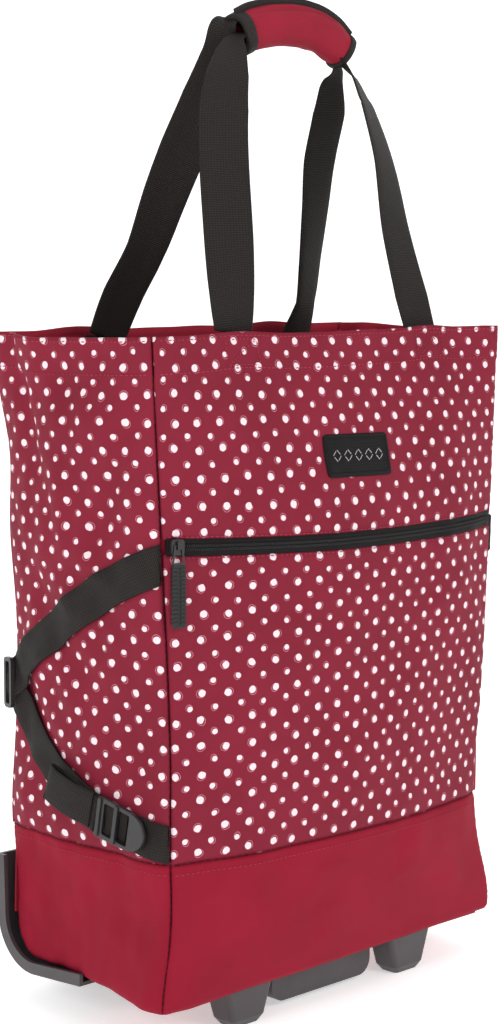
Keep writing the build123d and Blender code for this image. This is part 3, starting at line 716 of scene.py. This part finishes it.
def corner_seams():
    """Dark rows of beads at the bottom of each corner groove and along the band seam: painted shadow in the
    seams, not thread.
    """
    runs = []
    for side in (-1, 1):
        heights = span(BOTTOM + 0.004, RIM - 0.001, 0.003)
        runs.append(facing([side_point(FRONT, z, side, 0.0001) for z in heights], side, -1))
        heights = span(BOTTOM + CORNER_R, RIM - 0.001, 0.004)
        runs.append(facing([side_point(rear_edge(z), z, side, 0.0001) for z in heights], side, 1))
    # painted shadow down each corner groove, drawn as a row of dark beads
    stitches("corner_seam_shadow", runs, SEAM_SHADOW, length=0.0046, gap=0.0010, thick=0.0006)
    runs = [row_on_front(BAND, 0.002, -0.0008)]
    for side in (-1, 1):
        runs.append(row_on_side(BAND, FRONT + 0.002, rear_edge(BAND) - 0.002, side, -0.0008))
    # painted shadow along the seam between print and band, drawn as a row of dark beads
    stitches("band_seam_shadow", runs, SEAM_SHADOW, length=0.0060, gap=0.0008, thick=0.0005)


def corner_bindings():
    """Tape over the seam allowances inside the four upright corners."""
    for side, word in SIDES:
        for y_way, end in ((-1, "front"), (1, "rear")):
            centres = []
            for z in span(BOTTOM + (CORNER_R if y_way > 0 else 0.004), RIM + 0.002 + 0.006 * side, 0.006):
                y = FRONT if y_way < 0 else rear_edge(z)
                centres.append(side_point(y, z, side) - Vector((side, y_way, 0)) * 0.0030)
            flats = [Vector((side, -y_way, 0)).normalized()] * len(centres)
            widths = [0.0064] * len(centres)
            tape = ribbon(end + "_" + word + "_corner_tape", centres, widths, flats, 0.0012, LINING)


def seam_rows():
    inset = 0.006
    band_z = BAND - 0.008
    runs = [row_on_front(band_z, 0.002, 0.0)]
    for side in (-1, 1):
        runs.append(row_on_side(band_z, FRONT + 0.002, REAR - 0.003, side, 0.0))
    stitches("band_topstitch", runs, THREAD_RED)
    runs = []
    half = TOP_HALF - inset
    for offset, lift in ((HEM - 0.002, 0.0009), (0.003, 0.0009)):
        points = [front_point(x, rim_height(x, FRONT) - offset, lift) for x in span(-half, half, 0.004)]
        runs.append(facing(points, 0, -1))
        for side in (-1, 1):
            ys = span(FRONT + 0.004, REAR - 0.004, 0.004)
            points = [side_point(y, rim_height(side * TOP_HALF, y) - offset, side, lift) for y in ys]
            runs.append(facing(points, side, 0))
        points = [rear_point(x, rim_height(x, REAR) - offset, lift) for x in span(-half, half, 0.006)]
        runs.append(facing(points, 0, 1))
    for z in (ZIP - ZIP_HIGH / 2 - 0.0015, ZIP + ZIP_HIGH / 2 + 0.0015):
        runs.append(row_on_front(z, 0.004, 0.0002))
    stitches("cloth_topstitch", runs, THREAD_RED)
    boxes = []
    for centre in (-LEG_X, LEG_X):
        wide, low, high = WEB / 2 - 0.003, HEM - 0.004, 0.006
        corners = [(-wide, low), (wide, low), (wide, high), (-wide, high), (-wide, low), (wide, high)]
        for (a, p), (b, q) in zip(corners, corners[1:]):
            xs = [(centre + a + (b - a) * k / 8, p + (q - p) * k / 8) for k in range(9)]
            points = [front_point(x, rim_height(x, FRONT) - drop, 0.0010) for x, drop in xs]
            boxes.append(facing(points, 0, -1))
    stitches("handle_box_stitch", boxes, THREAD_RED, length=0.0026, gap=0.0012)


# ---- camera, light and floor ----

def camera_and_light():
    scene = bpy.context.scene
    scene.view_settings.view_transform = "Standard"
    data = bpy.data.cameras.new("camera")
    data.lens, data.sensor_width = 67.35, 36.0
    camera = bpy.data.objects.new("camera", data)
    scene.collection.objects.link(camera)
    camera.location = (-1.149, -1.174, 0.5403)
    camera.rotation_euler = (math.radians(90 - 4.72), 0, math.radians(-44.2))
    scene.camera = camera
    world = bpy.data.worlds.new("studio")
    scene.world = world
    world.use_nodes = True
    sky = world.node_tree.nodes["Background"]
    sky.inputs["Color"].default_value = (1, 1, 1, 1)
    sky.inputs["Strength"].default_value = 0.61

    def area(name, place, target, size, power):
        light = bpy.data.lights.new(name, "AREA")
        light.shape, light.size, light.energy = "SQUARE", size, power
        lamp = bpy.data.objects.new(name, light)
        scene.collection.objects.link(lamp)
        lamp.location = place
        lamp.rotation_euler = (Vector(target) - Vector(place)).to_track_quat("-Z", "Y").to_euler()
    area("key", (0.3, -2.5, 1.7), (0, 0, 0.35), 0.9, 21)
    area("fill", (-2.4, -0.3, 1.4), (0, 0, 0.3), 0.9, 19)
    area("top", (0.4, 0.3, 2.8), (0, 0, 0.3), 1.6, 10)


def studio_floor():
    n = Nodes("floor", 0.9, specular=0.1)
    n.color(n.mix(n.noise(n.coordinates(False), 1.5), srgb(250, 250, 250), srgb(255, 255, 255)))
    n.shader.inputs["Emission Color"].default_value = (1, 1, 1, 1)
    n.shader.inputs["Emission Strength"].default_value = 0.45
    verts, faces = [], []
    reach, bend, radius = 6.0, 4.0, 1.5
    profile = [(-reach, 0.0), (bend, 0.0)]
    profile += [(bend + radius * math.sin(a), radius - radius * math.cos(a))
                for a in np.linspace(0.1, math.pi / 2, 12)]
    profile.append((bend + radius, 6.0))
    ahead, right = Vector((0.695, 0.719, 0)), Vector((0.719, -0.695, 0))
    for far, high in profile:
        for s in (-8.0, 8.0):
            verts.append(ahead * far + right * s + Vector((0, 0, high)))
    for k in range(len(profile) - 1):
        faces.append((2 * k, 2 * k + 1, 2 * k + 3, 2 * k + 2))
    floor = piece("floor", verts, faces, [n.material], body=None)


# ---- pocket zip and label ----

def pocket_zip():
    low, high = ZIP - ZIP_HIGH / 2, ZIP + ZIP_HIGH / 2
    half = 0.1935
    xs, zs = span(-half, half, 0.004), span(low, high, 0.0022)
    grid = [[front_point(x, z, -0.0008) for x in xs] for z in zs]
    coords = [[(z, x) for x in xs] for z in zs]
    tape = sheet_piece("pocket_zip_tape_cloth", grid, coords, 0.0008, ZIP_TAPE, ZIP_TAPE)
    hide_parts("pocket_zip_tape")
    verts, faces = [], []
    pitch = 0.0016
    for side in (-1, 1):
        x = -half + 0.004 + (pitch / 2 if side > 0 else 0)
        while x < half - 0.004:
            a = front_point(x, ZIP + side * 0.0002, 0.0003)
            b = front_point(x, ZIP + side * 0.0027, 0.0001)
            base = len(verts)
            for p, grow in ((a, 0.9), (a.lerp(b, 0.5), 1.0), (b, 0.7)):
                for dx, dy in ((-0.00055, 0.0), (0.0, -0.0009), (0.00055, 0.0), (0.0, 0.0003)):
                    verts.append(p + Vector((dx * grow, dy * grow, 0)))
            faces += skin(3, 4, base)
            x += pitch
    coil = piece("pocket_zip_coil_teeth", verts, faces, [BLACK_PLASTIC])
    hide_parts("pocket_zip_coil")


def pull_tab():
    """Soft tab with a groove down its middle and ribs on both sides of it."""
    low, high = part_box("pocket_pull_tab")
    axis = next(Vector(j["axis"]) for j in frame["joints"] if j["name"] == "pocket_pull_swing")
    centre = Vector([(a + b) / 2 for a, b in zip(low, high)])
    tall = high[2] - low[2]
    down = Vector((0, 0, -1))
    out = axis.cross(down)
    out = out if out.y < 0 else -out
    wide, ribs, end_gap = 0.0112, 14, 0.0034
    place = axes(centre, down, out)
    outline = rounded(-tall / 2, tall / 2, -wide / 2, wide / 2, 0.0022)
    tab = plate("pocket_pull_body", [outline], 0.0018, place, PULL_RUBBER, "zip_pull")
    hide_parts("pocket_pull_tab")
    for row in (-1, 1):
        for k in range(ribs):
            x = -tall / 2 + end_gap + k * (tall - 2 * end_gap) / (ribs - 1)
            a, b = sorted((row * 0.0008, row * (wide / 2 + 0.0003)))
            outline = rounded(x - 0.0010, x + 0.0010, a, b, 0.0004)
            rib = plate("pull_rib_%d_%02d" % (row + 1, k), [outline], 0.0034, place, PULL_RUBBER,
                        "zip_pull", 0.0004)


def label():
    low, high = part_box("front_label")
    wide, tall = high[0] - low[0], high[2] - low[2]
    z0 = (low[2] + high[2]) / 2
    radius, thick = 0.004, 0.0013
    grid, coords = [], []
    for v in span(-0.5, 0.5, 0.04):
        row, uv = [], []
        z = v * tall
        cut = max(abs(z) - (tall / 2 - radius), 0.0)
        half = wide / 2 - radius + math.sqrt(max(radius ** 2 - cut ** 2, 0.0))
        for s in span(-1.0, 1.0, 0.04):
            x = s * half
            edge = min(wide / 2 - abs(x), tall / 2 - abs(z))
            rim = 0.0004 * bell(edge - 0.0022, 0.0009)
            row.append(front_point(x, z0 + z, thick + rim - 0.0007 * math.exp(-edge / 0.0006)))
            uv.append((z, x))
        grid.append(row)
        coords.append(uv)
    patch = sheet_piece("front_label_patch", grid, coords, thick, LABEL_PATCH, LABEL_PATCH)
    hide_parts("front_label")
    edge_x, edge_z = wide / 2 - 0.0035, tall / 2 - 0.0035
    corners = [(-edge_x, -edge_z), (edge_x, -edge_z), (edge_x, edge_z), (-edge_x, edge_z), (-edge_x, -edge_z)]
    runs = []
    for (a, p), (b, q) in zip(corners, corners[1:]):
        points = [front_point(a + (b - a) * k / 12, z0 + p + (q - p) * k / 12, thick) for k in range(13)]
        runs.append(facing(points, 0, -1))
    stitches("label_stitch", runs, THREAD_BLACK, length=0.002, gap=0.001, thick=0.0006)
    runs = []
    for k in range(5):
        cx, r = (k - 2) * 0.0125, 0.0045
        diamond = [(cx - r, 0), (cx, r), (cx + r, 0), (cx, -r), (cx - r, 0)]
        for (a, p), (b, q) in zip(diamond, diamond[1:]):
            points = [front_point(a + (b - a) * s / 4, z0 + p + (q - p) * s / 4, thick) for s in range(5)]
            runs.append(facing(points, 0, -1))
    stitches("label_ornament", runs, LABEL_THREAD, length=0.0014, gap=0.0003, thick=0.0007)


# ---- side straps ----

def side_strap(name, side, track, node=None):
    """Webbing that follows the side of the bag through (y, z, lift) points."""
    path = smooth_path([(lift, y, z) for y, z, lift in track], 12)
    verts, uvs, faces = [], [], []
    count, run = len(TAPE_PROFILE), 0.0
    for k, p in enumerate(path):
        ahead = path[min(k + 1, len(path) - 1)] - path[max(k - 1, 0)]
        over = Vector((0, -ahead.z, ahead.y)).normalized()
        if k:
            run += (p - path[k - 1]).length
        for a, b in TAPE_PROFILE:
            y = min(max(p.y + over.y * a * STRAP, FRONT + 0.0004), REAR - 0.006)
            z = p.z + over.z * a * STRAP
            verts.append(side_point(y, z, side, p.x + (b + 0.5) * WEB_THICK))
            uvs.append((a * STRAP, run))
    for k in range(len(path) - 1):
        for j in range(count):
            a, b = k * count + j, k * count + (j + 1) % count
            quad = (a, a + count, b + count, b)
            faces.append(quad if side > 0 else quad[::-1])
    faces.append(tuple(range(count)))
    last = (len(path) - 1) * count
    faces.append(tuple(last + j for j in range(count))[::-1])
    made = piece(name, verts, faces, [TAPE], "bag", uvs)
    if node:
        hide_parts(node)


def folded_tail(name, side, track):
    """Loose end of a strap that turns back over itself, through (y, z, lift) points."""
    centres = smooth_path([side_point(y, z, side, lift) for y, z, lift in track], 8)
    (y0, z0, _), (y1, z1, _) = track[0], track[2]
    over = Vector((0, z0 - z1, y1 - y0)).normalized()
    return ribbon(name, centres, [STRAP] * len(centres), [over] * len(centres), WEB_THICK, TAPE)


def buckle(word, side):
    """Ladder-lock buckle: a frame with two windows and a round tongue towards the front."""
    low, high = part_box(word + "_strap_buckle")
    y, z = BUCKLE_Y, (low[2] + high[2]) / 2 - 0.0002
    along = side_point(y + 0.02, z + 0.0045, side) - side_point(y - 0.02, z - 0.0045, side)
    upwards = side_point(y, z + 0.02, side) - side_point(y, z - 0.02, side)
    out = along.cross(upwards)
    out = out if out.x * side > 0 else -out
    rim = (arc((0.019, 0.0145), (0.005, 0.005), 0, 90, 6) + arc((-0.007, 0.0), (0.0185, 0.0185), 90, 270, 24)
           + arc((0.019, -0.0145), (0.005, 0.005), -90, 0, 6))
    rim = [(1.08 * x, 0.88 * y) for x, y in rim]
    windows = [rounded(x, x + 0.0120, -0.0128, 0.0128, 0.0015) for x in (-0.0105, 0.0050)]
    place = axes(side_point(y, z, side, 0.0068), along, out)
    body = plate(word + "_buckle_frame", [rim] + windows, 0.0034, place, BLACK_PLASTIC)
    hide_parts(word + "_strap_buckle")
    place = axes(side_point(y, z, side, 0.0086), along, out)
    for k, x in enumerate((0.0032, 0.0216)):
        outline = rounded(x - 0.0019, x + 0.0019, -0.0162, 0.0162, 0.0015)
        bar = plate(word + "_buckle_bar_" + str(k), [outline], 0.0030, place, BLACK_PLASTIC)


def straps():
    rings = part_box("strap_rings")
    ring_y, ring_z = (rings[0][1] + rings[1][1]) / 2, (rings[0][2] + rings[1][2]) / 2
    upper = [(FRONT - 0.006, 0.3835, 0.0006), (-0.085, 0.3765, 0.0012), (-0.045, 0.358, 0.0016),
             (0.010, 0.326, 0.0018), (0.050, 0.300, 0.0022), (0.075, 0.279, 0.0050),
             (ring_y + 0.003, ring_z + 0.001, 0.0100)]
    lower = [(ring_y + 0.002, ring_z + 0.004, 0.0060), (0.074, 0.252, 0.0030), (0.055, 0.229, 0.0016),
             (0.026, 0.2065, 0.0016), (-0.006, 0.192, 0.0020), (-0.034, 0.182, 0.0034),
             (-0.063, 0.1742, 0.0034)]
    anchor = [(FRONT - 0.004, 0.1650, 0.0004), (-0.085, 0.1675, 0.0010), (-0.066, 0.1725, 0.0006),
              (-0.040, 0.180, 0.0006)]
    fold = [(-0.034, 0.1815, 0.0092), (-0.010, 0.1890, 0.0085), (0.010, 0.1965, 0.0095),
            (0.0175, 0.2000, 0.0130), (0.0155, 0.2000, 0.0165), (0.004, 0.1955, 0.0172),
            (-0.012, 0.1900, 0.0140), (-0.030, 0.1850, 0.0100)]
    for side, word in SIDES:
        side_strap(word + "_upper_strap", side, upper, word + "_strap_upper_run")
        side_strap(word + "_lower_strap", side, lower, word + "_strap_lower_run")
        side_strap(word + "_anchor_strap", side, anchor)
        tail = folded_tail(word + "_strap_tail", side, fold)
        buckle(word, side)
        if side < 0:
            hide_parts("strap_free_ends", "buckle_anchors")


# ---- carry handles ----

# x, y and z of the centre, turn of the tape about the vertical, share of its full width
LEGS = {
    "front_left": [
        (-0.112, -0.089, 0.556, 0, 1.0), (-0.108, -0.083, 0.585, -14, 1.0),
        (-0.096, -0.067, 0.632, -34, 1.0), (-0.083, -0.048, 0.694, -44, 1.0),
        (-0.0718, -0.036, 0.736, -44, 1.0), (-0.0612, -0.029, 0.766, -44, 0.88),
        (-0.0494, -0.022, 0.788, -42, 0.62), (-0.038, -0.016, 0.801, -40, 0.34),
        (-0.014, -0.011, 0.808, -60, 0.3)],
    "rear_left": [
        (-0.109, 0.0695, 0.552, 0, 1.0), (-0.096, 0.063, 0.588, -8, 1.0), (-0.081, 0.050, 0.627, -8, 1.0),
        (-0.0705, 0.037, 0.672, -22, 1.0), (-0.060, 0.026, 0.710, -32, 1.0),
        (-0.047, 0.014, 0.752, -40, 0.95), (-0.0385, 0.004, 0.790, -46, 0.74),
        (-0.0400, -0.002, 0.810, -58, 0.60), (-0.0335, -0.005, 0.8165, -64, 0.54),
        (-0.0236, -0.007, 0.8150, -70, 0.42), (-0.008, -0.007, 0.811, -80, 0.3)],
    "front_right": [
        (0.112, -0.089, 0.556, 0, 1.0), (0.109, -0.080, 0.590, -4, 1.0), (0.107, -0.064, 0.645, 4, 1.0),
        (0.114, -0.044, 0.705, 17, 1.0), (0.1107, -0.029, 0.751, 26, 1.0),
        (0.1071, -0.024, 0.7645, 30, 0.95), (0.1020, -0.019, 0.780, 34, 0.74),
        (0.0965, -0.014, 0.789, 46, 0.50), (0.084, -0.010, 0.800, 76, 0.32)],
    "rear_right": [
        (0.117, 0.0695, 0.552, 2, 1.0), (0.124, 0.062, 0.588, 20, 1.0), (0.118, 0.050, 0.628, 16, 1.0),
        (0.110, 0.036, 0.672, 8, 1.0), (0.104, 0.025, 0.713, 0, 1.0), (0.1019, 0.012, 0.752, -4, 0.95),
        (0.0985, 0.006, 0.775, 0, 0.74), (0.0955, -0.001, 0.788, 18, 0.55),
        (0.084, -0.005, 0.800, 60, 0.32)],
}


def leg(name, body):
    rows = LEGS[name]
    centres = smooth_path([row[:3] for row in rows], 10)
    turns = blend_values([row[3] for row in rows], 10)
    widths = [w * WEB for w in blend_values([row[4] for row in rows], 10)]
    flats = [Vector((math.cos(math.radians(a)), math.sin(math.radians(a)), 0)) for a in turns]
    return ribbon(name + "_handle_leg", centres, widths, flats, WEB_THICK, TAPE, body)


def wrap_centre(s):
    """Centre line of the padded wrap, s from 0 at its left end to 1 at its right."""
    low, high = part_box("handle_wrap")
    x = low[0] + 0.004 + s * (high[0] - low[0] - 0.014)
    t = x - 0.043
    return Vector((x, WRAP_Y, high[2] - 0.0212 - (5.6 if t > 0 else 3.0) * t * t))


def wrap_section(s, count, shrink=0.0):
    """One ring of points round the wrap, slightly pear-shaped and gathered at its ends."""
    here = wrap_centre(s)
    ahead = (wrap_centre(s + 0.01) - wrap_centre(s - 0.01)).normalized()
    up = Vector((0, 1, 0)).cross(ahead).normalized() * -1
    if up.z < 0:
        up = -up
    deep, tall = 0.0142 - shrink, 0.0176 - shrink
    full = 1 - 0.08 * bell(s, 0.10) - 0.16 * bell(s - 1, 0.10)
    ring = []
    for k in range(count):
        a = 2 * math.pi * k / count
        c, d = math.cos(a), math.sin(a)
        sx = math.copysign(abs(c) ** 0.85, c)
        sy = math.copysign(abs(d) ** 0.85, d)
        crease = 1 - (0.12 * bell((a - 2.35) % (2 * math.pi), 0.22)
                      * ease(s, 0.05, 0.3) * ease(1 - s, 0.05, 0.3))
        fold = 1 + 0.035 * ripple(s * 0.30, a * 0.05, 0.035, 17.0)
        pinch = 1 - 0.16 * bell(s - 0.80, 0.07) * bell((a - 4.6) % (2 * math.pi), 0.8)
        r = full * crease * fold * pinch
        ring.append(here + Vector((0, 1, 0)) * (deep * sx * r) + up * (tall * sy * r))
    return ring


def tube_faces(rings, count):
    """Faces between rings of points, the last of which joins the first."""
    faces = []
    for k in range(rings):
        ahead = (k + 1) % rings * count
        for j in range(count):
            follow = (j + 1) % count
            faces.append((k * count + j, ahead + j, ahead + follow, k * count + follow))
    return faces


def padded_wrap():
    count = 48
    shares = [k / 44 for k in range(45)]
    rings = [wrap_section(s, count) for s in shares]
    back = [wrap_section(s, count, 0.0035) for s in reversed(shares)]
    verts = [p for ring in rings + back for p in ring]
    wrap = piece("handle_wrap_padding", verts, tube_faces(len(rings + back), count), [WRAP_CLOTH],
                 "carry_handle")
    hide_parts("handle_wrap")
    for word, centre, reach in (("left", 0.018, 0.044), ("right", 0.984, 0.022)):
        verts = []
        profile = [(-1.0, 0.0002), (-0.85, 0.0016), (-0.3, 0.0020), (0.3, 0.0020), (0.85, 0.0016),
                   (1.0, 0.0002), (0.6, -0.0040), (-0.6, -0.0040)]
        for along, out in profile:
            s = centre + along * reach
            verts += [p + (p - wrap_centre(s)).normalized() * out for p in wrap_section(s, count)]
        coords = [(along * reach * 0.14, k / count * 0.10) for along, _ in profile for k in range(count)]
        ring = piece(word + "_wrap_binding", verts, tube_faces(len(profile), count), [BINDING],
                     "carry_handle", coords)
    centres, flats = [], []
    for k in range(41):
        s = 0.012 + 0.968 * k / 40
        ring = wrap_section(s, count)
        p = ring[int(count * 0.29)]
        out = (p - wrap_centre(s)).normalized()
        centres.append(p + out * 0.0018)
        flats.append(out)
    fin = ribbon("wrap_flap_binding", centres, [0.0075] * 41, flats, 0.0034, BINDING, "carry_handle")


def handles():
    for side in ("left", "right"):
        front = leg("front_" + side, None)
        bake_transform(front)
        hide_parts("front_handle_webbing")
        rear = leg("rear_" + side, "carry_handle")
        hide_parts("rear_handle_webbing")
    padded_wrap()


# ---- carried-over CAD pieces ----

def finish_cad_pieces():
    paint(["left_wheel_housing", "right_wheel_housing", "left_front_foot", "right_front_foot", "bottom_grip"],
          GREY_PLASTIC)
    paint(["left_tyre", "right_tyre"], TYRE_RUBBER)
    paint(["left_wheel_hub", "right_wheel_hub"], HUB_PLASTIC)
    paint(["axles", "frame_screws", "release_rods"], STEEL)
    paint(["outer_tubes", "middle_tubes", "inner_tubes"], ALLOY)
    paint(["outer_tube_bushes", "middle_tube_bushes", "handle_lower_brackets", "handle_upper_bracket",
           "grip_lower_shell", "grip_upper_shell", "release_button"], HANDLE_PLASTIC)
    paint(["base_board", "back_board"], BOARD_PLASTIC)
    paint(["strap_rings"], BLACK_PLASTIC)
    paint(["pocket_zip_slider", "pocket_pull_loop", "top_zip_slider"], BLACK_ENAMEL)
    cloth = plain_fabric("inner_cloth", srgb(150, 34, 52), 0.0007, uv=False)
    paint(["pocket_back_panel", "handle_channel_panel", "top_flaps", "top_zip_tail"], cloth)
    base = plain_fabric("base_cloth", srgb(150, 34, 52), 0.0006, uv=False)
    paint(["bottom_panel", "base_rear_panel"], base)
    paint(["top_zip_tapes"], webbing("flat_zip_tape", srgb(34, 31, 31), uv=False, rib=0.0009))
    paint(["handle_ends", "ring_tabs", "strap_free_ends", "buckle_anchors"], TAPE_FLAT)


camera_and_light()
studio_floor()
finish_cad_pieces()
panels()
corner_seams()
corner_bindings()
seam_rows()
pocket_zip()
pull_tab()
label()
straps()
handles()
